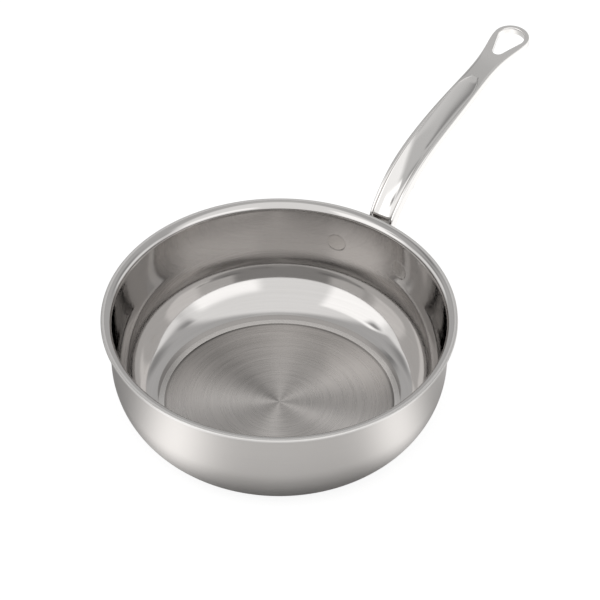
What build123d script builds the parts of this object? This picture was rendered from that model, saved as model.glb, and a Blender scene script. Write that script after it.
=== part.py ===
# A saucier pan: a round-sided bowl drawn from three bonded metal layers, with a flared
# pouring rim, and a long cast handle held by two rivets that are flush inside the bowl.
# Millimetres, +Z up. The origin is the centre of the flat underside, and the handle
# points along +X.
import math
import os

from build123d import *

# Bowl
pan_height = 85.5
rim_radius = 130.0
base_inset = 42.0  # how far the flat base stops inside the rim's edge
corner_radius = 23.5  # outside of the bend from the base into the belly
corner_end = 46.3  # degrees below level where that bend meets the belly
wall_draft = 4.0  # degrees by which the straight wall leans outwards

# Layers, from the outside in
outer_thickness = 0.5
core_thickness = 1.8
inner_thickness = 0.5

# Rim
lip_flat = 2.5  # level part of the lip
flare_radius = 2.8  # outside of the bend from the wall into the lip
lip_round_share = 0.4  # rounding of the lip's edge, as a share of the wall
core_cover = 1.0  # steel that closes off the core at the lip's edge

# Rivets
rivet_drop = 28.5  # below the rim
rivet_spacing = 56.0
rivet_head_diameter = 14.0
rivet_head_depth = 1.0
rivet_shank_diameter = 6.4
rivet_button_diameter = 11.0
rivet_button_height = 2.6
rivet_seat = 0.3  # how deep the button sits in the plate

# Mounting plate, cast in one with the handle
plate_margin = 6.0  # left all round each rivet's button
plate_thickness = 4.0
plate_round = 1.2

# Handle
handle_reach = 198.7  # from the wall to the tip
handle_rise = 73.0  # from the rivets to the top of the loop
handle_half_width = 10.9
handle_thickness = 6.9
handle_edge_round = 1.0
# Top line of the arm: share of the reach, share of the rise
arm_top_shares = (
    (0.022, 0.135),
    (0.066, 0.383),
    (0.126, 0.549),
    (0.215, 0.704),
    (0.343, 0.820),
    (0.523, 0.900),
    (0.728, 0.964),
    (0.918, 0.996),
    (1.000, 0.985),
)
# Upright depth of the arm below those points, as shares of its thickness
arm_depth_shares = (2.50, 2.20, 1.65, 1.32, 1.08, 1.00, 0.97, 0.94, 0.92)
# Half outline of the arm from above: share of the reach, share of the half width
arm_side_shares = (
    (0.010, 0.87),
    (0.115, 0.95),
    (0.317, 1.00),
    (0.523, 0.945),
    (0.661, 0.835),
    (0.738, 0.80),
    (0.805, 0.88),
    (0.862, 1.055),
)

# Hanging loop
loop_radius = 13.5
loop_wall = 3.5
loop_point_radius = 4.3  # narrow end of the drop-shaped hole
loop_point_distance = 17.0  # between the centres of its two ends

# Channel along the top of the handle
channel_rail = 2.8  # metal left beside it
channel_depth = 3.4
# Along the channel: share of the arm's top line, of the channel's width and of its depth
channel_shares = (
    (0.00, 0.90, 0.50),
    (0.07, 0.97, 0.85),
    (0.16, 1.00, 1.00),
    (0.27, 1.00, 0.75),
    (0.39, 1.00, 0.46),
    (0.54, 1.00, 0.30),
    (0.63, 0.95, 0.20),
    (0.68, 0.75, 0.12),
    (0.705, 0.42, 0.06),
)

# Finger stop: a low ridge across the underside of the arm
stop_place_share = 0.267  # along the arm's under line
stop_radius = 3.0
stop_proud = 2.6
stop_inset = 0.3  # from the sides of the arm

cut_overrun = 5.0  # how far a cutting shape runs past what it cuts

wall_thickness = outer_thickness + core_thickness + inner_thickness
base_radius = rim_radius - base_inset
lip_round = lip_round_share * wall_thickness
rivet_height = pan_height - rivet_drop

# The outside of the bowl in section: r and z of the centres of its three bends. The
# belly is the arc that runs smoothly from the corner's end into the straight wall.
draft = math.radians(wall_draft)
corner_turn = math.radians(corner_end)
wall_out = Vector(math.cos(draft), -math.sin(draft))
corner_out = Vector(math.cos(corner_turn), -math.sin(corner_turn))
corner_centre = Vector(base_radius, corner_radius)
flare_centre = Vector(rim_radius - lip_flat, pan_height - wall_thickness - flare_radius)
wall_foot = flare_centre - wall_out * flare_radius
turn_cosine = wall_out.dot(corner_out)
belly_room = (wall_foot - corner_centre).dot(wall_out) - corner_radius * turn_cosine
belly_radius = belly_room / (1 - turn_cosine)
belly_centre = corner_centre - corner_out * (belly_radius - corner_radius)


# An arc about a centre between two directions.
def arc_between(centre, start, end, radius):
    middle = (start + end).normalized()
    return ThreePointArc(*[centre + direction * radius for direction in (start, middle, end)])


# Wall line at a depth below the outside surface, from the axis to the start of the lip.
# Every depth shares the same bend centres, so the layers lie exactly face to face.
def bowl_line(depth):
    down = Vector(0, -1)
    up = Vector(0, 1)
    corner = arc_between(corner_centre, down, corner_out, corner_radius - depth)
    belly = arc_between(belly_centre, corner_out, wall_out, belly_radius - depth)
    flare = arc_between(flare_centre, -wall_out, up, flare_radius + depth)
    floor = Line((0, depth), corner @ 0)
    wall = Line(belly @ 1, flare @ 0)
    return [floor, corner, belly, wall, flare]


# A closed section, turned about the pan's axis.
def spun(edges):
    face = make_face(Curve() + edges)
    return revolve(Plane.XZ * face, Axis.Z)


# A layer between two depths, with the lines that close it at the lip's edge.
def layer(outer_depth, inner_depth, edge_lines):
    axis_line = Line((0, outer_depth), (0, inner_depth))
    return spun(bowl_line(outer_depth) + edge_lines + bowl_line(inner_depth) + [axis_line])


# Heights and radii of the lip, seen in section
lip_under = pan_height - wall_thickness
core_floor = lip_under + outer_thickness
core_roof = pan_height - inner_thickness
lip_start = rim_radius - lip_flat
lip_round_start = rim_radius - lip_round
core_edge = rim_radius - core_cover
# Direction, from the centre of the lip's lower rounding, of the outer layer's last point
seam_drop = lip_round - outer_thickness
seam_out = Vector(math.sqrt(lip_round**2 - seam_drop**2), -seam_drop).normalized()
lower_round_centre = Vector(lip_round_start, lip_under + lip_round)
upper_round_centre = Vector(lip_round_start, pan_height - lip_round)


def outer_ply():
    rounding = arc_between(lower_round_centre, Vector(0, -1), seam_out, lip_round)
    under = Line((lip_start, lip_under), rounding @ 0)
    top = Line(rounding @ 1, (lip_start, core_floor))
    return layer(0, outer_thickness, [under, rounding, top])


def core_ply():
    edge = Polyline(
        (lip_start, core_floor), (core_edge, core_floor), (core_edge, core_roof), (lip_start, core_roof)
    )
    return layer(outer_thickness, wall_thickness - inner_thickness, [edge])


# The inner layer is turned down over the edge of the core.
def inner_ply():
    lower = arc_between(lower_round_centre, seam_out, Vector(1, 0), lip_round)
    upper = arc_between(upper_round_centre, Vector(1, 0), Vector(0, 1), lip_round)
    cover = Polyline((lip_start, core_roof), (core_edge, core_roof), (core_edge, core_floor), lower @ 0)
    edge = Line(lower @ 1, upper @ 0)
    top = Line(upper @ 1, (lip_start, pan_height))
    edge_lines = [cover, lower, edge, upper, top]
    return layer(wall_thickness - inner_thickness, wall_thickness, edge_lines)


# Everything inside one wall line, up to above the rim.
def filled(depth):
    over = pan_height + cut_overrun
    lines = bowl_line(depth)
    lip_end = lines[-1] @ 1
    closing = Polyline(lip_end, (rim_radius, lip_end.Y), (rim_radius, over), (0, over), (0, depth))
    return spun(lines + [closing])


# Radius of the wall's outside at a height on its straight stretch.
def wall_radius_at(height):
    return wall_foot.X - (wall_foot.Y - height) * math.tan(draft)


# Plane on the wall's outside at a rivet, its Z pointing straight out of the wall.
def rivet_plane(side):
    wall_radius = wall_radius_at(rivet_height)
    around = side * math.asin(rivet_spacing / 2 / wall_radius)
    outward = Vector(math.cos(around), math.sin(around), 0)
    spot = outward * wall_radius + Vector(0, 0, rivet_height)
    normal = outward * math.cos(draft) - Vector(0, 0, math.sin(draft))
    return Plane(origin=spot, x_dir=(0, 1, 0), z_dir=normal)


# A round bar along Z between two heights.
def bar(diameter, low, high):
    length = high - low
    return Pos(0, 0, low + length / 2) * Cylinder(diameter / 2, length)


# One rivet before its head is trimmed flush: head, shank and domed button.
def rivet_blank(side):
    head_floor = rivet_head_depth - wall_thickness
    seat = plate_thickness - rivet_seat
    top = seat + rivet_button_height
    dome_radius = (rivet_button_diameter**2 / 4 + rivet_button_height**2) / (2 * rivet_button_height)
    head = bar(rivet_head_diameter, -wall_thickness - cut_overrun, head_floor)
    shank = bar(rivet_shank_diameter, head_floor, seat)
    dome = Pos(0, 0, top - dome_radius) * Sphere(dome_radius)
    button = dome & bar(rivet_button_diameter, seat, top)
    return rivet_plane(side) * (head + shank + button)


arm_root = wall_radius_at(rivet_height)
arm_inside = arm_root + plate_thickness / 2
arm_start = arm_root + arm_top_shares[0][0] * handle_reach
plate_height = rivet_button_diameter + 2 * plate_margin
loop_centre = arm_root + handle_reach - loop_radius
above_all = pan_height + handle_rise


# Points of a curve along the handle, from shares of the reach and of a second size.
def along_handle(shares, size, base=0):
    return [Vector(arm_root + reach * handle_reach, base + share * size) for reach, share in shares]


# Top and under lines of the arm, seen from the side.
def arm_lines():
    tops = along_handle(arm_top_shares, handle_rise, rivet_height)
    depths = [share * handle_thickness for share in arm_depth_shares]
    unders = [point - Vector(0, depth) for point, depth in zip(tops, depths)]
    return Spline(*tops), Spline(*unders)


# A solid block with a given side view, wide enough for the whole handle.
def side_block(face):
    return extrude(Plane.XZ.offset(-rim_radius) * face, amount=2 * rim_radius)


# Side view of the arm, from inside the mounting plate to past the tip.
def arm_side_face():
    top, under = arm_lines()
    past_tip = [top @ 1 + top % 1 * cut_overrun, under @ 1 + under % 1 * cut_overrun]
    tip = Polyline(top @ 1, *past_tip, under @ 1)
    root = Polyline(under @ 0, (arm_inside, (under @ 0).Y), (arm_inside, (top @ 0).Y), top @ 0)
    return make_face(Curve() + [top, tip, under, root])


# Outline of the arm and the loop from above, drawn in by a margin. It starts at the wall,
# behind the end of the side view.
def arm_plan_face(margin=0):
    draw_in = Vector(0, margin)
    points = [point - draw_in for point in along_handle(arm_side_shares, handle_half_width)]
    shoulder = Vector(loop_centre, loop_radius - margin)
    side = Spline(*points, shoulder, tangents=((1, 0), (1, 0)))
    across = Vector(loop_centre, margin - loop_radius)
    loop = ThreePointArc(shoulder, (loop_centre + loop_radius - margin, 0), across)
    other_side = mirror(side, Plane.XZ)
    corner = Vector(arm_root, (side @ 0).Y)
    other_corner = Vector(arm_root, -corner.Y)
    root = Polyline(side @ 0, corner, other_corner, other_side @ 0)
    return make_face(Curve() + [side, loop, other_side, root])


# Drop-shaped hole through the loop: two round ends joined by their tangents, the narrow
# end towards the bowl.
def loop_hole():
    wide_radius = loop_radius - loop_wall
    lean = (wide_radius - loop_point_radius) / loop_point_distance
    upper = Vector(-lean, math.sqrt(1 - lean**2))
    lower = Vector(-lean, -upper.Y)
    wide_centre = Vector(loop_centre, 0)
    narrow_centre = Vector(loop_centre - loop_point_distance, 0)
    wide = ThreePointArc(
        wide_centre + lower * wide_radius,
        wide_centre + Vector(wide_radius, 0),
        wide_centre + upper * wide_radius,
    )
    narrow = ThreePointArc(
        narrow_centre + upper * loop_point_radius,
        narrow_centre - Vector(loop_point_radius, 0),
        narrow_centre + lower * loop_point_radius,
    )
    sides = [Line(wide @ 1, narrow @ 0), Line(narrow @ 1, wide @ 0)]
    return make_face(Curve() + [wide, sides[0], narrow, sides[1]])


# Trough with an elliptical section that follows the arm's top line and fades out.
def channel():
    line = Plane.XZ * arm_lines()[0]
    half_width = handle_half_width - channel_rail
    sections = []
    for share, width_share, depth_share in channel_shares:
        plane = Plane(origin=line @ share, x_dir=(0, 1, 0), z_dir=line % share)
        sections.append(plane * Ellipse(width_share * half_width, depth_share * channel_depth))
    return loft(sections)


# Low ridge across the underside, nearly as wide as the arm.
def finger_stop():
    under = arm_lines()[1]
    outward = Vector((under % stop_place_share).Y, -(under % stop_place_share).X)
    centre = under @ stop_place_share - outward * (stop_radius - stop_proud)
    ridge = side_block(Pos(centre.X, centre.Y) * Circle(stop_radius))
    return ridge & extrude(arm_plan_face(stop_inset), amount=above_all)


# The arm with its loop, rounded along its edges, before it meets the plate.
def arm():
    body = side_block(arm_side_face()) & extrude(arm_plan_face() - loop_hole(), amount=above_all)
    top_and_under = body.faces().sort_by(SortBy.AREA)[-2:]
    edges = ShapeList(edge for face in top_and_under for edge in face.edges())
    free_edges = edges.filter_by(lambda edge: edge.bounding_box().max.X > arm_start + handle_edge_round)
    return fillet(free_edges, handle_edge_round) + finger_stop() - channel()


# A plate that hugs the wall, its round ends drawn about the rivets.
def mounting_plate():
    low = rivet_height - plate_height / 2
    high = rivet_height + plate_height / 2
    shift = plate_thickness / math.cos(draft)
    section = Polyline(
        (wall_radius_at(low), low),
        (wall_radius_at(low) + shift, low),
        (wall_radius_at(high) + shift, high),
        (wall_radius_at(high), high),
        close=True,
    )
    ring = revolve(Plane.XZ * make_face(section), Axis.Z)
    outline = Plane.YZ * Pos(0, rivet_height) * SlotCenterToCenter(rivet_spacing, plate_height)
    plate = ring & extrude(outline, amount=rim_radius + plate_thickness)
    outer_face = plate.faces().sort_by(Axis.X)[-1]
    return fillet(outer_face.edges(), plate_round)


# The layers and the handle are drilled by the same shapes that the rivets are made from.
def main():
    os.makedirs("parts", exist_ok=True)
    blanks = {"rivet_right": rivet_blank(-1), "rivet_left": rivet_blank(1)}
    holes = list(blanks.values())
    nodes = {
        "inner_ply": inner_ply() - holes,
        "core_ply": core_ply() - holes,
        "outer_ply": outer_ply() - holes,
        "handle": arm() + mounting_plate() - filled(0) - holes,
    }
    for name, blank in blanks.items():
        nodes[name] = blank - filled(wall_thickness)
    for name, shape in nodes.items():
        export_step(shape, f"parts/{name}.step")


main()
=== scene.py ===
import math

import bmesh
import bpy
import numpy as np
from mathutils import Matrix, Vector


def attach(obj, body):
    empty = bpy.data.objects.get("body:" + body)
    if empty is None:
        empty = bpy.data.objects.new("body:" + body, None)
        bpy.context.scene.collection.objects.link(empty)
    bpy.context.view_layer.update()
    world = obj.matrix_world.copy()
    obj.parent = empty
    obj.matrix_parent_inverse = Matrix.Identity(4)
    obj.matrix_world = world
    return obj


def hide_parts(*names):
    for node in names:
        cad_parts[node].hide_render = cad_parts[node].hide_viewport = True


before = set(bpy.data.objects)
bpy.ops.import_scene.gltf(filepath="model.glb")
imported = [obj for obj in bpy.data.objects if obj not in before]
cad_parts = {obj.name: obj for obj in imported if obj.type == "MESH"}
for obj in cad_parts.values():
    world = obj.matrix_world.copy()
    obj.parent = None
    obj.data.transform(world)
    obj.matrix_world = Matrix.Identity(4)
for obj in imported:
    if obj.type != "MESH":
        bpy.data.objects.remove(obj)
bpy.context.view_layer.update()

mm = 0.001  # every shape below is worked out in millimetres
weldDistance = 2e-6  # metres
print("frame loaded:", ", ".join(sorted(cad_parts)))


# Quads between neighbouring points of a grid that is stored row by row.
def gridFaces(rows, columns, start):
    index = start + np.arange(rows * columns).reshape(rows, columns)
    corners = (index[:-1, :-1], index[1:, :-1], index[1:, 1:], index[:-1, 1:])
    return np.stack(corners, -1).reshape(-1, 4)


# One object from grids of points in millimetres. Each patch is a grid and the number of
# its finish. The grids are welded where their edges meet, faces are turned outwards, and
# edges that turn by more than the given angle stay sharp.
def buildPiece(name, patches, finishes, sharpAngle):
    points, faces, finishNumbers = [], [], []
    start = 0
    for grid, finishNumber in patches:
        rows, columns = grid.shape[:2]
        quads = gridFaces(rows, columns, start)
        points.append(grid.reshape(-1, 3))
        faces.append(quads)
        finishNumbers.append(np.full(len(quads), finishNumber, np.int32))
        start += rows * columns
    mesh = bpy.data.meshes.new(name)
    mesh.from_pydata((np.vstack(points) * mm).tolist(), [], np.vstack(faces).tolist())
    for finish in finishes:
        mesh.materials.append(finish)
    mesh.polygons.foreach_set("material_index", np.concatenate(finishNumbers))
    work = bmesh.new()
    work.from_mesh(mesh)
    bmesh.ops.remove_doubles(work, verts=work.verts, dist=weldDistance)
    bmesh.ops.recalc_face_normals(work, faces=work.faces)
    work.to_mesh(mesh)
    work.free()
    mesh.shade_smooth()
    mesh.set_sharp_from_angle(angle=math.radians(sharpAngle))
    piece = bpy.data.objects.new(name, mesh)
    bpy.context.scene.collection.objects.link(piece)
    return piece


# One line about a piece: its name and its triangles, which are each face's corners less two.
def reportPiece(piece):
    triangles = sum(len(face.vertices) - 2 for face in piece.data.polygons)
    print(f"{piece.name}: {triangles} triangles")


# Points of an arc: centre plus radius times the cosine and sine of evenly spaced angles.
def arcLine(centre, radius, startAngle, endAngle, count):
    angle = np.radians(np.linspace(startAngle, endAngle, count))
    return np.array(centre) + radius * np.stack([np.cos(angle), np.sin(angle)], -1)


# Points evenly spaced between two ends.
def straightLine(start, end, count):
    share = np.linspace(0, 1, count)[:, None]
    return np.array(start) * (1 - share) + np.array(end) * share


bowl = {
    "height": 85.5,
    "rimRadius": 130.0,
    "baseRadius": 88.0,
    "cornerRadius": 23.5,
    "cornerEnd": 46.3,  # degrees below level
    "wallDraft": 4.0,  # degrees outwards
    "outerThickness": 0.5,
    "coreThickness": 1.8,
    "innerThickness": 0.5,
    "lipFlat": 2.5,
    "flareRadius": 2.8,
    "lipRound": 1.12,
    "coreCover": 1.0,
    "discRadius": 84.0,  # edge of the brushed disc
    "segments": 400,
    "sharpAngle": 32,  # degrees; edges that turn by more stay sharp
    # points in the disc, corner, belly and flare of each face's section
    "innerCounts": (30, 18, 34, 12),
    "innerBackCounts": (12, 8, 14, 5),
    "outerCounts": (16, 20, 34, 10),
    "outerBackCounts": (8, 8, 14, 5),
    "ringCount": 4,
    # points in the lip's flat and in its rounding above and below the middle
    "lipCounts": (4, 8, 5),
}
rivet = {
    "height": 57.0,
    "spacing": 56.0,
    "headRadius": 7.0,
    "headDepth": 1.0,
    "headGap": 0.03,
    "headEdge": 0.05,
    "shankRadius": 3.2,
    "buttonRadius": 5.5,
    "buttonHeight": 2.6,
    "seat": 0.3,
    "segments": 48,
    "sharpAngle": 40,
    "faceCount": 10,
    "edgeCount": 5,
    "domeCount": 14,
}
plate = {"margin": 6.0, "thickness": 4.0, "edgeRound": 1.2}

wallThickness = bowl["outerThickness"] + bowl["coreThickness"] + bowl["innerThickness"]
draft = math.radians(bowl["wallDraft"])
wallOut = np.array([math.cos(draft), -math.sin(draft)])
cornerTurn = math.radians(bowl["cornerEnd"])
cornerOut = np.array([math.cos(cornerTurn), -math.sin(cornerTurn)])
cornerCentre = np.array([bowl["baseRadius"], bowl["cornerRadius"]])
lipStart = bowl["rimRadius"] - bowl["lipFlat"]
lipUnder = bowl["height"] - wallThickness
flareCentre = np.array([lipStart, lipUnder - bowl["flareRadius"]])
wallFoot = flareCentre - wallOut * bowl["flareRadius"]
turnCosine = wallOut @ cornerOut
wallReach = (wallFoot - cornerCentre) @ wallOut
bellyRadius = (wallReach - bowl["cornerRadius"] * turnCosine) / (1 - turnCosine)
bellyCentre = cornerCentre - cornerOut * (bellyRadius - bowl["cornerRadius"])
roundStart = bowl["rimRadius"] - bowl["lipRound"]  # where the lip's edge begins to round
lowerCentre = (roundStart, lipUnder + bowl["lipRound"])
seamAngle = math.degrees(math.asin((bowl["lipRound"] - bowl["outerThickness"]) / bowl["lipRound"]))
coreFloor = lipUnder + bowl["outerThickness"]  # the core's underside in the lip
flatCount, upperCount, lowerCount = bowl["lipCounts"]


# Radius of the straight wall at a height: the outside's slanted line, moved inwards by the
# depth measured square to the wall.
def wallRadiusAt(height, depth):
    return wallFoot[0] - (wallFoot[1] - height) * math.tan(draft) - depth / math.cos(draft)


# Heights at which the straight wall begins and ends at a depth.
def wallEnds(depth):
    low = bellyCentre + wallOut * (bellyRadius - depth)
    high = flareCentre - wallOut * (bowl["flareRadius"] + depth)
    return low[1], high[1]


# The section at a depth, in runs from the axis to the lip: the disc, the flat ring round it,
# the corner, the belly and the flare. The straight wall between the last two is left out,
# because openWall and drilledWall make it.
def wallRuns(depth, counts):
    discCount, cornerCount, bellyCount, flareCount = counts
    return (
        straightLine((0, depth), (bowl["discRadius"], depth), discCount),
        straightLine((bowl["discRadius"], depth), (bowl["baseRadius"], depth), bowl["ringCount"]),
        arcLine(cornerCentre, bowl["cornerRadius"] - depth, -90, -bowl["cornerEnd"], cornerCount),
        arcLine(bellyCentre, bellyRadius - depth, -bowl["cornerEnd"], -bowl["wallDraft"], bellyCount),
        arcLine(flareCentre, bowl["flareRadius"] + depth, 180 - bowl["wallDraft"], 90, flareCount),
    )


# A section turned about the axis: (radius x cos, radius x sin, height) for each point of
# the section and each angle.
def turned(section, angles):
    radius, height = section[:, :1], section[:, 1:]
    parts = np.broadcast_arrays(radius * np.cos(angles), radius * np.sin(angles), height)
    return np.stack(parts, -1)


allAngles = np.linspace(0, 2 * np.pi, bowl["segments"] + 1)
rivetAngle = math.asin(rivet["spacing"] / 2 / wallRadiusAt(rivet["height"], 0))
openRows = (1, 15)  # rows of the straight wall's grid that are left open round a rivet
openColumns = (10, 19)  # its columns, counted from the handle
wallRowCount = 24
outerRingCount = 5  # rings between a rivet's hole and the rectangle round it


# The straight wall at a depth, as grids that leave a rectangle open round each rivet.
def openWall(depth, finish):
    low, high = wallEnds(depth)
    heights = np.linspace(low, high, wallRowCount)
    section = np.stack([wallRadiusAt(heights, depth), heights], -1)
    first, last = openRows
    step = allAngles[1]
    between = np.arange(-openColumns[0], openColumns[0] + 1) * step
    around = np.arange(openColumns[1], bowl["segments"] - openColumns[1] + 1) * step
    return [
        (turned(section[: first + 1], allAngles), finish),
        (turned(section[last:], allAngles), finish),
        (turned(section[first : last + 1], between), finish),
        (turned(section[first : last + 1], around), finish),
    ]


# The wall round one rivet's hole: rings about the rivet, each at a distance and sunk below
# the surface, then shares of the way to the rectangle that openWall leaves.
def drilledWall(depth, side, rings):
    low, high = wallEnds(depth)
    rows = np.linspace(low, high, wallRowCount)[openRows[0] : openRows[1] + 1]
    columns = np.arange(openColumns[0], openColumns[1] + 1) * allAngles[1]
    angle = np.concatenate([
        columns, np.full(len(rows) - 2, columns[-1]),
        columns[::-1], np.full(len(rows) - 1, columns[0])])
    height = np.concatenate([
        np.full(len(columns), rows[0]), rows[1:-1],
        np.full(len(columns), rows[-1]), rows[-2::-1]])
    radius = wallRadiusAt(rivet["height"], depth)
    across = (angle - rivetAngle) * radius
    up = (height - rivet["height"]) / math.cos(draft)
    reach = np.hypot(across, up)
    share = np.linspace(0, 1, outerRingCount + 1)[1:, None]
    rings = np.array(rings)
    outerRings = rings[-1, 0] * (1 - share) + reach * share
    distance = np.vstack([np.repeat(rings[:, :1], len(reach), 1), outerRings])
    sunk = np.concatenate([rings[:, 1], np.zeros(len(share))])[:, None]
    gridAngle = rivetAngle + distance * across / reach / radius
    gridHeight = rivet["height"] + distance * up / reach * math.cos(draft)
    gridRadius = wallRadiusAt(gridHeight, depth - sunk)
    gridX = gridRadius * np.cos(gridAngle)
    gridY = side * gridRadius * np.sin(gridAngle)
    return np.stack([gridX, gridY, gridHeight], -1)


# Both faces of a layer's straight wall, the rivets' holes and the holes' edges, which join
# the two faces' innermost rings.
def drilledLayer(shownDepth, hiddenDepth, shownRings, hiddenRings, finish):
    patches = openWall(shownDepth, finish) + openWall(hiddenDepth, finish)
    for side in (-1, 1):
        shown = drilledWall(shownDepth, side, shownRings)
        hidden = drilledWall(hiddenDepth, side, hiddenRings)
        patches += [(shown, finish), (hidden, finish), (np.stack([shown[0], hidden[0]]), finish)]
    return patches


# The cooking surface: the inner layer with its turned-down lip. Its section runs from the
# axis over the lip's top and edge to the seam, then back behind the surface. The numbers of
# its finishes are 0 for the disc, 1 for the wall, 2 for the rim and 3 for the lip's edge.
def buildInnerLayer(discFinish, wallFinish, rimFinish, edgeFinish):
    backDepth = wallThickness - bowl["innerThickness"]
    shown = wallRuns(wallThickness, bowl["innerCounts"])
    hidden = wallRuns(backDepth, bowl["innerBackCounts"])
    upperCentre = (roundStart, bowl["height"] - bowl["lipRound"])
    coreEdge = bowl["rimRadius"] - bowl["coreCover"]
    coreRoof = bowl["height"] - bowl["innerThickness"]
    upperRound = arcLine(upperCentre, bowl["lipRound"], 90, 0, upperCount)
    lowerRound = arcLine(lowerCentre, bowl["lipRound"], 0, -seamAngle, lowerCount)
    lipFlat = straightLine((lipStart, bowl["height"]), (roundStart, bowl["height"]), flatCount)
    lipEdge = np.vstack([upperRound, lowerRound])
    cover = np.array([lowerRound[-1], (coreEdge, coreFloor), (coreEdge, coreRoof), (lipStart, coreRoof)])
    runs = (*shown, lipFlat, lipEdge, cover, *hidden)
    runFinishes = (0, 2, 1, 1, 1, 2, 3, 2, 1, 1, 1, 1, 1)
    patches = [(turned(run, allAngles), finish) for run, finish in zip(runs, runFinishes)]
    head = rivet["headRadius"] + rivet["headGap"]
    edge = rivet["headEdge"]
    # rounding of the head's seat, as shares of the edge's size outwards and below the surface
    edgeShares = ((0, 1), (0.1, 0.5), (0.45, 0.12), (1, 0))
    shownRings = [(head + outwards * edge, below * edge) for outwards, below in edgeShares]
    patches += drilledLayer(wallThickness, backDepth, shownRings, [(head, 0)], 1)
    finishes = (discFinish, wallFinish, rimFinish, edgeFinish)
    return buildPiece("cookingSurface", patches, finishes, bowl["sharpAngle"])


# The outside layer: its section runs from the axis up the outside and under the lip to the
# seam, then back inside.
def buildOuterLayer(finish):
    shown = wallRuns(0, bowl["outerCounts"])
    hidden = wallRuns(bowl["outerThickness"], bowl["outerBackCounts"])
    lowerRound = arcLine(lowerCentre, bowl["lipRound"], -90, -seamAngle, lowerCount)
    lip = np.vstack([(lipStart, lipUnder), lowerRound, (lipStart, coreFloor)])
    patches = [(turned(run, allAngles), 0) for run in (*shown, lip, *hidden)]
    hole = [(rivet["shankRadius"], 0), (rivet["headRadius"], 0)]
    patches += drilledLayer(0, bowl["outerThickness"], hole, hole, 0)
    return buildPiece("outsideShell", patches, (finish,), bowl["sharpAngle"])


# One rivet: a section of (distance from its centre line, place along it) turned about that
# line, which points straight out of the wall. The head's face follows the wall's inside.
def buildRivet(name, side, finish):
    angle = side * rivetAngle
    outward = np.array([math.cos(angle), math.sin(angle), 0])
    upwards = np.array([0, 0, 1.0])
    along = outward * math.cos(draft) - upwards * math.sin(draft)
    across = np.array([-math.sin(angle), math.cos(angle), 0])
    spot = outward * wallRadiusAt(rivet["height"], 0) + upwards * rivet["height"]
    edge = rivet["headEdge"]
    headRadius = rivet["headRadius"] - rivet["headGap"] / 2
    headFloor = rivet["headDepth"] - wallThickness
    seat = plate["thickness"] - rivet["seat"]
    button, rise = rivet["buttonRadius"], rivet["buttonHeight"]
    domeRadius = (button**2 + rise**2) / (2 * rise)
    domeCentre = (0, seat + rise - domeRadius)
    domeEdge = math.degrees(math.atan2(seat - domeCentre[1], button))
    face = straightLine((0, -wallThickness), (headRadius - edge, -wallThickness), rivet["faceCount"])
    roundCentre = (headRadius - edge, edge - wallThickness)
    rounding = arcLine(roundCentre, edge, -90, 0, rivet["edgeCount"])
    shankRadius = rivet["shankRadius"]
    shank = np.array([
        (headRadius, headFloor), (shankRadius, headFloor), (shankRadius, seat), (button, seat)])
    dome = arcLine(domeCentre, domeRadius, domeEdge, 90, rivet["domeCount"])
    section = np.vstack([face, rounding[1:], shank, dome[1:]])
    turn = np.linspace(0, 2 * np.pi, rivet["segments"] + 1)
    aside = section[:, :1] * np.cos(turn)
    tilted = section[:, :1] * np.sin(turn)
    innerRadius = wallRadiusAt(rivet["height"], wallThickness) / math.cos(draft)
    follow = innerRadius - np.sqrt(innerRadius**2 - aside**2)
    inHead = section[:, 1:] < headFloor - 1e-6
    place = section[:, 1:] - follow * inHead
    grid = spot + aside[..., None] * across + tilted[..., None] * np.cross(along, across)
    grid += place[..., None] * along
    return buildPiece(name, [(grid, 0)], (finish,), rivet["sharpAngle"])


handle = {
    "reach": 198.7,
    "rise": 73.0,
    "halfWidth": 10.9,
    "thickness": 6.9,
    "edgeRound": 1.0,
    # top line: share of the reach, share of the rise, depth as a share of the thickness
    "topShares": (
        (0.022, 0.135, 2.50), (0.066, 0.383, 2.20), (0.126, 0.549, 1.65), (0.215, 0.704, 1.32),
        (0.343, 0.820, 1.08), (0.523, 0.900, 1.00), (0.728, 0.964, 0.97), (0.918, 0.996, 0.94),
        (1.000, 0.985, 0.92)),
    # outline from above: share of the reach, share of the half width
    "sideShares": (
        (0.010, 0.87), (0.115, 0.95), (0.317, 1.00), (0.523, 0.945),
        (0.661, 0.835), (0.738, 0.80), (0.805, 0.88), (0.862, 1.055)),
    "loopRadius": 13.5,
    "loopWall": 3.5,
    "loopPointRadius": 4.3,
    "loopPointDistance": 17.0,
    "jointGap": 8.0,  # from the hole's small end back to where the arm's grid meets the loop's
    # channel: share of the top line, of the channel's width, of its depth
    "channelShares": (
        (0.00, 0.90, 0.50), (0.07, 0.97, 0.85), (0.16, 1.00, 1.00),
        (0.27, 1.00, 0.75), (0.39, 1.00, 0.46), (0.54, 1.00, 0.30),
        (0.63, 0.99, 0.20), (0.71, 0.97, 0.10), (1.00, 0.97, 0.0)),
    "channelRail": 2.8,
    "channelDepth": 3.4,
    "channelEdge": 0.45,
    "channelEdgeShare": 0.4,  # the edge's largest share of the depth
    "narrowest": 0.3,  # the channel's least share of its width, where it has run out
    "tongueStart": 0.62,
    "tongueEnd": 0.712,
    "tongueFade": 0.3,  # share of the tongue over which the channel rises to the top
    "stopPlaceShare": 0.267,
    "stopProud": 2.6,
    "stopSpread": 2.7,
    "stopSideGap": 0.3,
    "stopSideFade": 1.2,
    "rootBlend": 2.0,
    "stations": 240,
    "linePoints": 1200,
    "sharpAngle": 40,
}
roundCount = 7  # points in a rounded edge of the handle


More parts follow.
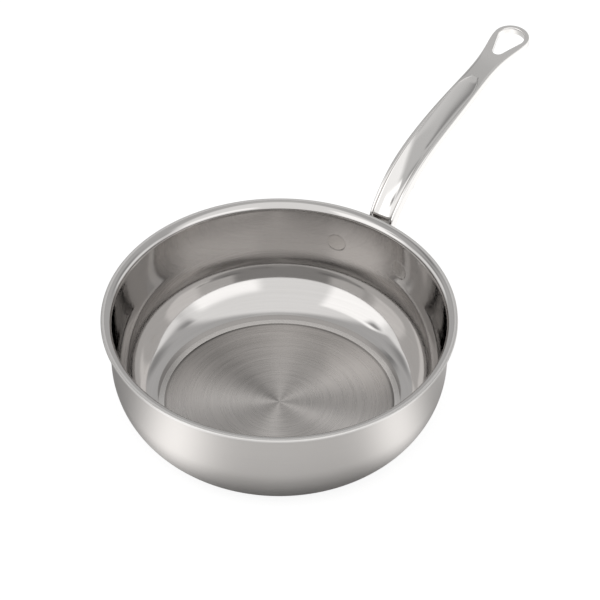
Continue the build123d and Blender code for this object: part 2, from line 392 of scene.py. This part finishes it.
# A smooth cubic through values at knots, from the second derivatives that keep its slope
# and bend unbroken. With levelEnds it leaves both ends level.
def cubicThrough(knots, values, places, levelEnds=False):
    gaps = np.diff(knots)[:, None]
    rates = np.diff(values, axis=0) / gaps
    count = len(knots)
    matrix = np.eye(count)
    target = np.zeros_like(values)
    inner = np.arange(1, count - 1)
    matrix[inner, inner - 1] = gaps[:-1, 0]
    matrix[inner, inner] = 2 * (gaps[:-1, 0] + gaps[1:, 0])
    matrix[inner, inner + 1] = gaps[1:, 0]
    target[1:-1] = 6 * np.diff(rates, axis=0)
    if levelEnds:
        matrix[0, :2] = 2 * gaps[0, 0], gaps[0, 0]
        matrix[-1, -2:] = gaps[-1, 0], 2 * gaps[-1, 0]
        target[0], target[-1] = 6 * rates[0], -6 * rates[-1]
    bends = np.linalg.solve(matrix, target)
    cell = np.clip(np.searchsorted(knots, places) - 1, 0, count - 2)
    width = gaps[cell]
    left = (knots[cell + 1] - places)[:, None] / width
    right = 1 - left
    curved = (left**3 - left) * bends[cell] + (right**3 - right) * bends[cell + 1]
    return left * values[cell] + right * values[cell + 1] + curved * width**2 / 6


# Distance run along a line of points.
def lengthAlong(line):
    return np.concatenate([[0], np.cumsum(np.hypot(*np.diff(line, axis=0).T))])


# A spline through points, knotted by the distance between them, as a fine line of points.
def fineLine(points):
    knots = lengthAlong(points)
    return cubicThrough(knots, points, np.linspace(0, knots[-1], handle["linePoints"]))


armRoot = wallRadiusAt(rivet["height"], 0)
shares = np.array(handle["topShares"])
topPlaces = armRoot + shares[:, 0] * handle["reach"]
topHeights = rivet["height"] + shares[:, 1] * handle["rise"]
topPoints = np.stack([topPlaces, topHeights], -1)
underPoints = topPoints - np.stack([np.zeros(len(shares)), shares[:, 2] * handle["thickness"]], -1)
topLine, underLine = fineLine(topPoints), fineLine(underPoints)
loopCentre = armRoot + handle["reach"] - handle["loopRadius"]
pointCentre = loopCentre - handle["loopPointDistance"]
jointPlace = pointCentre - handle["loopPointRadius"] - handle["jointGap"]


# Height of a line at x, straight between its points.
def lineHeight(line, x):
    return np.interp(x, line[:, 0], line[:, 1])


# How far a size square to the line stretches upright at x: the root of 1 plus slope squared.
def lineStretch(line, x):
    slope = np.gradient(line[:, 1], line[:, 0])
    return np.interp(x, line[:, 0], np.sqrt(1 + slope**2))


# Half width of the arm at x and the outline's outward direction there.
def armSide(x):
    side = np.array(handle["sideShares"])
    knots = np.append(armRoot + side[:, 0] * handle["reach"], loopCentre)
    widths = np.append(side[:, 1] * handle["halfWidth"], handle["loopRadius"])[:, None]
    width = cubicThrough(knots, widths, x, True)[:, 0]
    step = 0.01  # millimetres, for the slope
    slope = (cubicThrough(knots, widths, x + step, True)[:, 0] - width) / step
    length = np.sqrt(1 + slope**2)
    return width, -slope / length, 1 / length


# The rounded edges and the side between them, for points of an outline and its outward
# directions: a quarter turn at the top, an upright run, a quarter turn underneath.
def edgeStrip(x, y, directionX, directionY, swell=0.0):
    turn = np.radians(np.linspace(0, 90, roundCount))
    inset = handle["edgeRound"] * (1 - np.sin(turn))
    drop = handle["edgeRound"] * (1 - np.cos(turn))
    stripX = x[:, None] - directionX[:, None] * inset
    stripY = y[:, None] - directionY[:, None] * inset
    swell = np.broadcast_to(swell, x.shape)[:, None]
    top = lineHeight(topLine, stripX) + swell - drop * lineStretch(topLine, stripX)
    under = lineHeight(underLine, stripX) - swell + drop * lineStretch(underLine, stripX)
    upper = np.stack([stripX, stripY, top], -1)
    lower = np.stack([stripX, stripY, under], -1)[:, ::-1]
    share = np.array([0.25, 0.5, 0.75])[:, None]
    between = upper[:, -1:] * (1 - share) + lower[:, :1] * share
    return np.concatenate([upper, between, lower], 1)


# The arm's left half from the plate to the loop: at each station the section runs from the
# top's middle through the channel, over the rail, round the side and back underneath.
def armHalf():
    plateFace = armRoot + plate["thickness"] / math.cos(draft)
    path = np.vstack([(armRoot + plate["thickness"] / 2, topLine[0, 1]), topLine])
    run = lengthAlong(path)
    end = np.interp(jointPlace, path[:, 0], run)
    x = np.interp(np.linspace(0, end, handle["stations"]), run, path[:, 0])
    x[-1] = jointPlace
    near = np.clip((x - plateFace) / handle["rootBlend"], 0, 1)
    swell = handle["rootBlend"] * (1 - np.sqrt(1 - (1 - near) ** 2))
    width, directionX, directionY = armSide(x)
    strip = edgeStrip(x, width + swell, directionX, directionY, swell)
    topRun = lengthAlong(topLine)
    topShare = np.interp(x, topLine[:, 0], topRun) / topRun[-1]
    channel = np.array(handle["channelShares"])
    widthShare, depthShare = cubicThrough(channel[:, 0], channel[:, 1:], topShare).T
    tongueLength = handle["tongueEnd"] - handle["tongueStart"]
    tongue = np.clip((topShare - handle["tongueStart"]) / tongueLength, 0, 1)
    fullHalf = handle["halfWidth"] - handle["channelRail"]
    half = fullHalf * np.maximum(widthShare * np.sqrt(1 - tongue**2), handle["narrowest"])
    fade = np.clip((1 - tongue) / handle["tongueFade"], 0, 1)
    depth = handle["channelDepth"] * depthShare * fade * (2 - fade)
    edge = np.minimum(handle["channelEdge"], handle["channelEdgeShare"] * depth)[:, None]
    half, depth = half[:, None], depth[:, None]
    sweepCount, railCount = 16, 6
    sweep = np.radians(np.linspace(0, 90, sweepCount))
    bend = np.radians(np.linspace(0, 90, roundCount))[1:]
    railShare = np.linspace(0, 1, railCount)[1:]
    railEnd = strip[:, 0, 1][:, None]
    across = np.concatenate([
        half * np.sin(sweep), half + edge * (1 - np.cos(bend)),
        (half + edge) * (1 - railShare) + railEnd * railShare], 1)
    drop = np.concatenate([
        edge + (depth - edge) * np.cos(sweep), edge * (1 - np.sin(bend)),
        np.zeros((len(x), len(railShare)))], 1)
    topX = x[:, None] + (strip[:, 0, 0] - x)[:, None] * across / railEnd
    topZ = lineHeight(topLine, topX) + swell[:, None] - drop * lineStretch(topLine, topX)
    top = np.stack([topX, across, topZ], -1)
    share = np.linspace(0, 1, top.shape[1])[:, None]
    middle = strip[:, -1:] * (1, 0, 1)
    middle[..., 0] = x[:, None]
    middle[..., 2] = lineHeight(underLine, middle[..., 0]) - swell[:, None]
    under = strip[:, -1:] * (1 - share) + middle * share
    grid = np.concatenate([top, strip[:, 1:], under[:, 1:]], 1)
    lowerStart = top.shape[1] + strip.shape[1] - 1 - roundCount
    grid[:, lowerStart:] += fingerStop(grid[:, lowerStart:], width)
    return grid, top.shape[1], strip.shape[1]


# The low ridge across the underside: a push square to the under line that falls off with
# the cube of the distance along it, and just short of the sides.
def fingerStop(points, width):
    run = lengthAlong(underLine)
    place = np.interp(points[..., 0], underLine[:, 0], run) - handle["stopPlaceShare"] * run[-1]
    push = handle["stopProud"] * np.exp(-np.abs(place / handle["stopSpread"]) ** 3)
    room = width[:, None] - handle["stopSideGap"] - np.abs(points[..., 1])
    push *= np.sqrt(np.clip(room / handle["stopSideFade"], 0, 1))
    underSlope = np.gradient(underLine[:, 1], underLine[:, 0])
    slope = np.interp(points[..., 0], underLine[:, 0], underSlope)
    length = np.sqrt(1 + slope**2)
    return np.stack([push * slope / length, np.zeros_like(push), -push / length], -1)


# The loop's left half. Both outlines run from the tip to the arm: the hole's, of two round
# ends and their tangent, and the outer one, of the round end, the arm's side and then the
# points where the arm's grid ends. Between them the faces are straight shares.
def loopHalf(arm, topCount, stripCount):
    wideRadius = handle["loopRadius"] - handle["loopWall"]
    pointRadius = handle["loopPointRadius"]
    lean = math.degrees(math.asin((wideRadius - pointRadius) / handle["loopPointDistance"]))
    tangent = 90 + lean
    lastTurn = 150  # degrees; beyond it the small end faces the arm's grid
    capCount, sideCount, fineCount, faceCount = 24, 40, 60, 9
    capTurn = np.radians(np.linspace(0, 90, capCount))
    wideEnd = arcLine((loopCentre, 0), wideRadius, 90, tangent, fineCount)
    smallEnd = arcLine((pointCentre, 0), pointRadius, tangent, lastTurn, fineCount)
    hole = np.vstack([wideEnd, straightLine(wideEnd[-1], smallEnd[0], fineCount), smallEnd])
    turnOf = np.concatenate([
        np.linspace(90, tangent, fineCount), np.full(fineCount, tangent),
        np.linspace(tangent, lastTurn, fineCount)])
    holeRun = lengthAlong(hole)
    even = np.linspace(0, holeRun[-1], sideCount)[1:]
    holeX, holeY, holeTurn = (np.interp(even, holeRun, values) for values in (*hole.T, turnOf))
    joint = arm[-1, :topCount][::-1]
    endTurn = np.radians(np.linspace(lastTurn, 180, topCount))[1:]
    innerX = np.concatenate([
        loopCentre + wideRadius * np.cos(capTurn), holeX, pointCentre + pointRadius * np.cos(endTurn)])
    innerY = np.concatenate([wideRadius * np.sin(capTurn), holeY, pointRadius * np.sin(endTurn)])
    innerTurn = np.concatenate([capTurn, np.radians(holeTurn), endTurn])
    inner = edgeStrip(innerX, innerY, -np.cos(innerTurn), -np.sin(innerTurn))
    sideX = np.linspace(loopCentre, jointPlace, sideCount)[1:]
    sideWidth, sideDirectionX, sideDirectionY = armSide(sideX)
    outerX = np.concatenate([loopCentre + handle["loopRadius"] * np.cos(capTurn), sideX])
    outerY = np.concatenate([handle["loopRadius"] * np.sin(capTurn), sideWidth])
    directionX = np.concatenate([np.cos(capTurn), sideDirectionX])
    directionY = np.concatenate([np.sin(capTurn), sideDirectionY])
    outer = edgeStrip(outerX, outerY, directionX, directionY)
    outer[-1] = arm[-1, topCount - 1 : topCount - 1 + stripCount]
    underJoint = arm[-1, topCount + stripCount - 2 :]
    share = np.linspace(0, 1, faceCount)[:, None]
    topOuter = np.concatenate([outer[:, 0], joint[1:]])[:, None]
    lowOuter = np.concatenate([outer[:, -1], underJoint[1:]])[:, None]
    top = inner[:, :1] * (1 - share) + topOuter * share
    low = inner[:, -1:] * (1 - share) + lowOuter * share
    top[:, 1:-1, 2] = lineHeight(topLine, top[:, 1:-1, 0])
    low[:, 1:-1, 2] = lineHeight(underLine, low[:, 1:-1, 0])
    return [inner, outer, top, low]


# The mounting plate: distances from the line between the rivets, and depths measured out
# from the wall, laid on the cone of the wall at each height.
def plateGrid():
    spread = rivet["spacing"] / 2
    outline = rivet["buttonRadius"] + plate["margin"]
    thickness = plate["thickness"] / math.cos(draft)
    edge = plate["edgeRound"]
    faceCount, backCount, sideCount = 10, 6, 30
    turn = np.radians(np.linspace(0, 90, roundCount))
    face = np.linspace(0, outline - edge, faceCount)[:-1]
    back = np.linspace(outline, 0, backCount)
    ring = np.concatenate([face, outline - edge + edge * np.sin(turn), back])
    faceLift = np.full(len(face), thickness)
    lift = np.concatenate([faceLift, thickness - edge + edge * np.cos(turn), np.zeros(backCount)])
    straight = np.linspace(spread, -spread, sideCount)
    cap = np.radians(np.linspace(0, 180, sideCount))
    level, full = np.zeros(sideCount), np.ones(sideCount)
    spine = np.concatenate([straight, full * -spread, -straight, full * spread, [spread]])
    aside = np.concatenate([level, -np.sin(cap), level, np.sin(cap), [0]])
    up = np.concatenate([full, np.cos(cap), -full, -np.cos(cap), [1]])
    y = spine + ring[:, None] * aside
    z = rivet["height"] + ring[:, None] * up
    x = np.sqrt((wallRadiusAt(z, 0) + lift[:, None]) ** 2 - y**2)
    return np.stack([x, y, z], -1)


# The handle: the left halves of the arm and the loop with the arm's closing face at the
# root, the same mirrored, and the plate.
def buildHandle(finish):
    arm, topCount, stripCount = armHalf()
    halves = [arm] + loopHalf(arm, topCount, stripCount)
    root = np.stack([arm[0], arm[0] * (1, 0, 1)])
    halves.append(root)
    mirrored = [grid * (1, -1, 1) for grid in halves]
    patches = [(grid, 0) for grid in halves + mirrored + [plateGrid()]]
    return buildPiece("longHandle", patches, (finish,), handle["sharpAngle"])


# A node with its settings and its inputs by name; a socket given as a value is linked.
def addNode(tree, kind, inputs=None, **settings):
    node = tree.nodes.new(kind)
    for name, value in settings.items():
        setattr(node, name, value)
    for name, value in (inputs or {}).items():
        socket = node.inputs[name]
        if isinstance(value, bpy.types.NodeSocket):
            tree.links.new(value, socket)
        else:
            socket.default_value = value
    return node


# The result of one arithmetic step.
def mathNode(tree, operation, first, second=0.0, third=0.0):
    inputs = {0: first, 1: second, 2: third}
    return addNode(tree, "ShaderNodeMath", inputs, operation=operation).outputs[0]


# The result of one vector step: a number for a length or a dot product, else a vector.
def vectorNode(tree, operation, first, second=(0, 0, 0)):
    node = addNode(tree, "ShaderNodeVectorMath", {0: first, 1: second}, operation=operation)
    return node.outputs["Value" if operation in ("LENGTH", "DOT_PRODUCT") else "Vector"]


# A ramp from 0 at start to full at end, eased at both ends unless it is linear.
def ramp(tree, value, start, end, full=1.0, easing="SMOOTHSTEP"):
    limits = {"Value": value, "From Min": start, "From Max": end, "To Max": full}
    return addNode(tree, "ShaderNodeMapRange", limits, interpolation_type=easing).outputs[0]


# A node group with named vectors and numbers as inputs and one number as output.
def startGroup(name, vectors, numbers, result):
    group = bpy.data.node_groups.new(name, "ShaderNodeTree")
    for names, kind in ((vectors, "NodeSocketVector"), (numbers, "NodeSocketFloat")):
        for socketName in names:
            group.interface.new_socket(socketName, in_out="INPUT", socket_type=kind)
    group.interface.new_socket(result, in_out="OUTPUT", socket_type="NodeSocketFloat")
    return group, addNode(group, "NodeGroupInput").outputs


# The group with a value as its result.
def endGroup(group, value):
    addNode(group, "NodeGroupOutput", {0: value})
    return group


# The emptied node tree of a material or a world.
def emptyTree(owner):
    owner.use_nodes = True
    owner.node_tree.nodes.clear()
    return owner.node_tree


# Lines left by turning and polishing round the axis: noise that is fine across radius and
# height and drawn out round the turn.
def makeTurnedLines():
    group, given = startGroup("turnedLines", ("Position",), ("Fineness", "Sweep"), "Lines")
    parts = addNode(group, "ShaderNodeSeparateXYZ", {0: given["Position"]}).outputs
    level = addNode(group, "ShaderNodeCombineXYZ", {0: parts[0], 1: parts[1]}).outputs[0]
    radius = vectorNode(group, "LENGTH", level)
    heading = addNode(group, "ShaderNodeSeparateXYZ", {0: vectorNode(group, "NORMALIZE", level)}).outputs
    place = addNode(group, "ShaderNodeCombineXYZ", {
        0: mathNode(group, "MULTIPLY", radius, given["Fineness"]),
        1: mathNode(group, "MULTIPLY", heading[0], given["Sweep"]),
        2: mathNode(group, "MULTIPLY", heading[1], given["Sweep"]),
    }).outputs[0]
    height = mathNode(group, "MULTIPLY", parts[2], given["Fineness"])
    grain = {"Vector": place, "W": height, "Scale": 1.0, "Detail": 3.0, "Roughness": 0.7}
    noise = addNode(group, "ShaderNodeTexNoise", grain, noise_dimensions="4D")
    return endGroup(group, noise.outputs["Fac"])


# Faint handling marks: slow patches of noise of a given size.
def makeHandling():
    group, given = startGroup("handling", ("Position",), ("Size",), "Marks")
    scale = mathNode(group, "DIVIDE", 1.0, given["Size"])
    patch = {"Vector": given["Position"], "Scale": scale, "Detail": 4.0, "Roughness": 0.55}
    noise = addNode(group, "ShaderNodeTexNoise", patch)
    return endGroup(group, noise.outputs["Fac"])


# A bell curve of the angle between a place's heading from the axis and a given heading: the
# exponential of the angle's cosine less 1, divided by the square of the width.
def makeHeadingBell():
    group, given = startGroup("headingBell", ("Position", "Heading"), ("Width",), "Bell")
    level = vectorNode(group, "MULTIPLY", given["Position"], (1, 1, 0))
    facing = vectorNode(group, "DOT_PRODUCT", vectorNode(group, "NORMALIZE", level), given["Heading"])
    short = mathNode(group, "SUBTRACT", facing, 1.0)
    away = mathNode(group, "DIVIDE", short, mathNode(group, "POWER", given["Width"], 2.0))
    return endGroup(group, mathNode(group, "EXPONENT", away))


turnedLines = makeTurnedLines()
handlingMarks = makeHandling()
headingBell = makeHeadingBell()
bumpDepth = 0.0001  # metres
edgeTint = (0.75, 0.75, 0.75, 1)  # metal's tint at grazing angles


# The sum of bells at headings in degrees, each with its strength and width.
def bells(tree, place, paintedRays):
    total = 0.0
    for heading, strength, width in paintedRays:
        turn = math.radians(heading)
        toward = (math.cos(turn), math.sin(turn), 0)
        inputs = {"Position": place, "Heading": toward, "Width": math.radians(width)}
        bell = addNode(tree, "ShaderNodeGroup", inputs, node_tree=headingBell)
        total = mathNode(tree, "MULTIPLY_ADD", bell.outputs[0], strength, total)
    return total


# Metal whose tone, gloss and surface follow the turned lines and the handling marks: each is
# its plain value plus shares of both, counted from their middle.
def makeSteel(name, look):
    material = bpy.data.materials.new(name)
    tree = emptyTree(material)
    place = addNode(tree, "ShaderNodeTexCoord").outputs["Object"]
    lineInputs = {"Position": place, "Fineness": look["fineness"], "Sweep": look["sweep"]}
    lines = addNode(tree, "ShaderNodeGroup", lineInputs, node_tree=turnedLines).outputs[0]
    markInputs = {"Position": place, "Size": look["markSize"]}
    marks = addNode(tree, "ShaderNodeGroup", markInputs, node_tree=handlingMarks).outputs[0]
    line = mathNode(tree, "SUBTRACT", lines, 0.5)
    mark = mathNode(tree, "SUBTRACT", marks, 0.5)
    tone = mathNode(tree, "MULTIPLY_ADD", line, look["lineTone"], 1.0)
    tone = mathNode(tree, "MULTIPLY_ADD", mark, look["markTone"], tone)
    # painted reflections: bright rays and one dark ray of painted shade by heading, added to the tone
    if "paintedRays" in look:
        tone = mathNode(tree, "ADD", tone, bells(tree, place, look["paintedRays"]))
    # painted shade: a thin dark ring at the given radii, added to the tone
    if "paintedEdgeShade" in look:
        start, end, change = look["paintedEdgeShade"]
        shade = ramp(tree, vectorNode(tree, "LENGTH", place), start, end, change, "LINEAR")
        tone = mathNode(tree, "ADD", tone, shade)
    colour = vectorNode(tree, "MULTIPLY", look["colour"], tone)
    roughness = mathNode(tree, "MULTIPLY_ADD", line, look["lineGloss"], look["roughness"])
    roughness = mathNode(tree, "MULTIPLY_ADD", mark, look["markGloss"], roughness)
    relief = {"Strength": look["bump"], "Distance": bumpDepth, "Height": lines}
    bump = addNode(tree, "ShaderNodeBump", relief).outputs[0]
    shader = addNode(tree, "ShaderNodeBsdfPrincipled", {
        "Base Color": colour, "Metallic": 1.0, "Roughness": roughness, "Normal": bump,
        "Anisotropic": look["anisotropy"], "Anisotropic Rotation": look["turn"],
        "Specular Tint": edgeTint})
    if look["anisotropy"]:
        tangent = addNode(tree, "ShaderNodeTangent", direction_type="RADIAL", axis="Z").outputs[0]
        tree.links.new(tangent, shader.inputs["Tangent"])
    addNode(tree, "ShaderNodeOutputMaterial", {"Surface": shader.outputs[0]})
    return material


# Settings of a finish: turn rotates its anisotropy, fineness and sweep scale the turned
# lines across and along them, and the rest says how far the lines and the handling marks
# change its tone and gloss, how large the marks are and how deep the lines look.
discLook = {
    "colour": (0.432, 0.413, 0.398), "roughness": 0.28, "anisotropy": 0.8, "turn": 0.25,
    "fineness": 900.0, "sweep": 1.2, "lineTone": 0.6, "lineGloss": 0.15,
    "markSize": 0.05, "markTone": 0.05, "markGloss": 0.05, "bump": 0.15,
    # heading, strength and width of the painted reflections: bright rays, and one dark ray of painted shade
    "paintedRays": (
        (-25, 0.42, 13), (30, 0.22, 10), (119, 0.42, 14),
        (202, 0.3, 12), (274, 0.42, 12), (78, -0.26, 13)),
    # painted shade: a thin dark line where the brushing ends, for the shadow of its slight step; from and
    # to these radii in metres, by this tone
    "paintedEdgeShade": (0.0818, 0.083, -0.5),
}
wallLook = {
    "colour": (0.535, 0.521, 0.51), "roughness": 0.07, "anisotropy": 0.0, "turn": 0.25,
    "fineness": 700.0, "sweep": 1.0, "lineTone": 0.14, "lineGloss": 0.05,
    "markSize": 0.04, "markTone": 0.03, "markGloss": 0.03, "bump": 0.0,
}
rimLook = {
    "colour": (0.75, 0.735, 0.72), "roughness": 0.24, "anisotropy": 0.0, "turn": 0.25,
    "fineness": 900.0, "sweep": 1.0, "lineTone": 0.08, "lineGloss": 0.08,
    "markSize": 0.04, "markTone": 0.03, "markGloss": 0.04, "bump": 0.05,
}
outsideLook = {
    "colour": (0.545, 0.525, 0.508), "roughness": 0.36, "anisotropy": 0.6, "turn": 0.25,
    "fineness": 800.0, "sweep": 1.0, "lineTone": 0.08, "lineGloss": 0.08,
    "markSize": 0.06, "markTone": 0.04, "markGloss": 0.04, "bump": 0.06,
}
edgeLook = {**outsideLook, "colour": (0.63, 0.615, 0.60)}
rivetLook = {
    "colour": (0.53, 0.513, 0.497), "roughness": 0.12, "anisotropy": 0.0, "turn": 0.0,
    "fineness": 300.0, "sweep": 1.0, "lineTone": 0.03, "lineGloss": 0.05,
    "markSize": 0.004, "markTone": 0.08, "markGloss": 0.05, "bump": 0.01,
}
handleLook = {
    "colour": (0.705, 0.69, 0.675), "roughness": 0.08, "anisotropy": 0.0, "turn": 0.0,
    "fineness": 60.0, "sweep": 0.5, "lineTone": 0.0, "lineGloss": 0.0,
    "markSize": 0.02, "markTone": 0.03, "markGloss": 0.04, "bump": 0.0,
}
coreLook = {
    "colour": (0.80, 0.80, 0.80), "roughness": 0.45, "anisotropy": 0.0, "turn": 0.0,
    "fineness": 400.0, "sweep": 1.0, "lineTone": 0.05, "lineGloss": 0.05,
    "markSize": 0.03, "markTone": 0.05, "markGloss": 0.05, "bump": 0.05,
}

discSteel = makeSteel("brushedDiscSteel", discLook)
wallSteel = makeSteel("polishedWallSteel", wallLook)
rimSteel = makeSteel("satinRimSteel", rimLook)
outsideSteel = makeSteel("satinOutsideSteel", outsideLook)
edgeSteel = makeSteel("satinEdgeSteel", edgeLook)
rivetSteel = makeSteel("rivetSteel", rivetLook)
handleSteel = makeSteel("polishedHandleSteel", handleLook)
coreMetal = makeSteel("coreAluminium", coreLook)
print("finishes made")


cookingSurface = buildInnerLayer(discSteel, wallSteel, rimSteel, edgeSteel)
outsideShell = buildOuterLayer(outsideSteel)
longHandle = buildHandle(handleSteel)
rightRivet = buildRivet("rightRivet", -1, rivetSteel)
leftRivet = buildRivet("leftRivet", 1, rivetSteel)
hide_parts("inner_ply")
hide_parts("outer_ply")
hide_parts("handle")
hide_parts("rivet_right")
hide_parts("rivet_left")
for piece in (cookingSurface, outsideShell, longHandle, rightRivet, leftRivet):
    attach(piece, "root")
    reportPiece(piece)
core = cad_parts["core_ply"]
core.data.materials.clear()
core.data.materials.append(coreMetal)


view = {
    "elevation": 42.86,
    "azimuth": -56.5,
    "focalPixels": 20000.0,
    "pixels": 600,
    "sensor": 36.0,  # millimetres, like the next three
    "pixel": 0.727,
    "aimAcross": 15.09,
    "aimUp": 13.6,
    "farClip": 200.0,  # metres
}
azimuth, elevation = math.radians(view["azimuth"]), math.radians(view["elevation"])
viewBack = Vector((
    math.sin(azimuth) * math.cos(elevation), -math.cos(azimuth) * math.cos(elevation), math.sin(elevation)))
viewRight = Vector((math.cos(azimuth), math.sin(azimuth), 0))
viewUp = viewBack.cross(viewRight)
aim = (viewRight * view["aimAcross"] + viewUp * view["aimUp"]) * mm
cameraData = bpy.data.cameras.new("camera")
cameraData.sensor_width = view["sensor"]
cameraData.lens = view["focalPixels"] * view["sensor"] / view["pixels"]
cameraData.clip_end = view["farClip"]
camera = bpy.data.objects.new("camera", cameraData)
target = Vector((0, 0, bowl["height"] * mm)) + aim
camera.location = target + viewBack * (view["focalPixels"] * view["pixel"] * mm)
camera.rotation_euler = Matrix((viewRight, viewUp, viewBack)).transposed().to_euler()
bpy.context.scene.collection.objects.link(camera)
bpy.context.scene.camera = camera
bpy.context.scene.view_settings.view_transform = "Standard"

floorSettings = {
    "halfSide": 4.0,
    "height": -0.0002,  # a hair under the base, so that the two don't coincide
    "tone": 0.8,  # matt colour that light falls on
    "seenTone": 0.25,  # the same to the camera and to metal, where a glow hides all but a faint shadow
    "seenGlow": 0.84,
    # painted pools of light that metal sees on it, as a glow: bells of heading, strength and width; the
    # distances from the axis, in metres, over which they rise, so that painted shade is left near the pan's
    # foot; and the two between which one loses a share
    "paintedLightPools": (
        {"bells": ((213.5, 0.65, 65), (-10, 1.15, 26)), "rise": (0.095, 0.185)},
        {
            "bells": ((161.5, 1.4, 14), (273.5, 1.25, 12.5)),
            "rise": (0.085, 0.16),
            "loss": (0.165, 0.215, 0.4),
        },
    ),
}


# The floor: a pale matt surface. The camera sees it white with a faint shadow, and metal sees painted pools
# of light beside the pan as a glow, with painted shade near its foot: bells times their rise and what is
# left of them.
def buildFloor():
    side, height = floorSettings["halfSide"], floorSettings["height"]
    corners = [(x * side, y * side, height) for x, y in ((-1, -1), (1, -1), (1, 1), (-1, 1))]
    mesh = bpy.data.meshes.new("floor")
    mesh.from_pydata(corners, [], [(0, 1, 2, 3)])
    material = bpy.data.materials.new("paleFloor")
    tree = emptyTree(material)
    path = addNode(tree, "ShaderNodeLightPath").outputs
    matt = addNode(tree, "ShaderNodeBsdfDiffuse", {"Color": (*[floorSettings["tone"]] * 3, 1)})
    faint = addNode(tree, "ShaderNodeBsdfDiffuse", {"Color": (*[floorSettings["seenTone"]] * 3, 1)})
    dim = mathNode(tree, "MAXIMUM", path["Is Camera Ray"], path["Is Glossy Ray"])
    surface = addNode(tree, "ShaderNodeMixShader", {0: dim, 1: matt.outputs[0], 2: faint.outputs[0]})
    place = addNode(tree, "ShaderNodeTexCoord").outputs["Object"]
    distance = vectorNode(tree, "LENGTH", place)
    around = 0.0
    # painted light and shade for metal: glowing pools beside the pan that fade out near its foot
    for glow in floorSettings["paintedLightPools"]:
        share = ramp(tree, distance, *glow["rise"])
        if "loss" in glow:
            left = mathNode(tree, "SUBTRACT", 1.0, ramp(tree, distance, *glow["loss"]))
            share = mathNode(tree, "MULTIPLY", share, left)
        around = mathNode(tree, "MULTIPLY_ADD", bells(tree, place, glow["bells"]), share, around)
    toMetal = mathNode(tree, "MULTIPLY", path["Is Glossy Ray"], around)
    strength = mathNode(tree, "MULTIPLY_ADD", path["Is Camera Ray"], floorSettings["seenGlow"], toMetal)
    shine = addNode(tree, "ShaderNodeEmission", {"Color": (1, 1, 1, 1), "Strength": strength})
    seen = addNode(tree, "ShaderNodeAddShader", {0: surface.outputs[0], 1: shine.outputs[0]})
    addNode(tree, "ShaderNodeOutputMaterial", {"Surface": seen.outputs[0]})
    mesh.materials.append(material)
    floor = bpy.data.objects.new("floor", mesh)
    bpy.context.scene.collection.objects.link(floor)


buildFloor()

# Levels of light, where 1 is white. Headings are degrees anticlockwise from the right-hand
# side of the camera's view, climbs are degrees above level.
studio = {
    "room": 0.65,
    "canopy": {"level": 1.22, "edge": 0.2, "soft": 0.14, "spread": 0.5},
    # heading, half width, lowest and highest climb, half the width of the soft edge, level
    "panels": (
        (207, 27, 8, 50, 4, 1.75),  # left
        (-52, 24, 13, 33, 5, 1.75),  # right
        (165, 22, 8, 31, 5, 1.25),  # low, left
        (8, 22, 8, 29, 5, 1.25),  # low, right
        (30, 12, 26, 44, 8, 0.4),  # shade, back right
        (150, 12, 30, 44, 8, 0.4),  # shade, back left
        (189, 6, 32, 41, 4, 0.4),  # shade beside the left panel
        (-11, 6, 32, 41, 4, 0.45),  # shade beside the low right one
        (88, 14, 57, 80, 8, 0.78),  # light over the far end
        (113, 15, 48, 53, 3, 0.3),  # shade over the handle
    ),
}


# How much of one panel a direction meets: 1 within its headings and climbs, fading over
# its soft edge.
def makePanelMask():
    numbers = ("Climb", "HalfWidth", "Low", "High", "Soft")
    group, given = startGroup("panelMask", ("Flat", "Centre"), numbers, "Mask")
    aside = mathNode(group, "ARCCOSINE", vectorNode(group, "DOT_PRODUCT", given["Flat"], given["Centre"]))
    outer = mathNode(group, "MULTIPLY", given["Soft"], -1.0)

    # what one edge lets through, from how far inside it a direction lies
    def fade(larger, smaller):
        return ramp(group, mathNode(group, "SUBTRACT", larger, smaller), outer, given["Soft"])

    across = fade(given["HalfWidth"], aside)
    above = fade(given["Climb"], given["Low"])
    upright = mathNode(group, "MULTIPLY", above, fade(given["High"], given["Climb"]))
    return endGroup(group, mathNode(group, "MULTIPLY", across, upright))


# The studio: white to the camera. Metal sees a grey room that is white on the camera's
# side, with panels of light and shade in it.
def buildStudio():
    world = bpy.data.worlds.new("studio")
    bpy.context.scene.world = world
    tree = emptyTree(world)
    viewAway = Vector((-math.sin(azimuth), math.cos(azimuth), 0))
    panelMask = makePanelMask()
    direction = addNode(tree, "ShaderNodeTexCoord").outputs["Generated"]

    # the light moved towards a level by a mask
    def blend(mask, light, level):
        return mathNode(tree, "MULTIPLY_ADD", mask, mathNode(tree, "SUBTRACT", level, light), light)

    canopy = studio["canopy"]
    sideways = mathNode(tree, "ABSOLUTE", vectorNode(tree, "DOT_PRODUCT", direction, viewRight))
    away = vectorNode(tree, "DOT_PRODUCT", direction, viewAway)
    inward = mathNode(tree, "MULTIPLY_ADD", sideways, canopy["spread"], away)
    over = ramp(tree, inward, canopy["edge"] + canopy["soft"], canopy["edge"] - canopy["soft"])
    light = blend(over, studio["room"], canopy["level"])
    climb = mathNode(tree, "ARCSINE", vectorNode(tree, "DOT_PRODUCT", direction, (0, 0, 1)))
    flat = vectorNode(tree, "NORMALIZE", vectorNode(tree, "MULTIPLY", direction, (1, 1, 0)))
    for heading, halfWidth, low, high, soft, level in studio["panels"]:
        turn = math.radians(heading)
        mask = addNode(tree, "ShaderNodeGroup", {
            "Flat": flat, "Climb": climb, "Centre": viewRight * math.cos(turn) + viewAway * math.sin(turn),
            "HalfWidth": math.radians(halfWidth), "Low": math.radians(low),
            "High": math.radians(high), "Soft": math.radians(soft),
        }, node_tree=panelMask)
        light = blend(mask.outputs[0], light, level)
    path = addNode(tree, "ShaderNodeLightPath").outputs
    seen = blend(path["Is Camera Ray"], light, 1.0)
    back = addNode(tree, "ShaderNodeBackground", {"Color": (1, 1, 1, 1), "Strength": seen})
    addNode(tree, "ShaderNodeOutputWorld", {"Surface": back.outputs[0]})


buildStudio()
print("camera, floor and studio made")
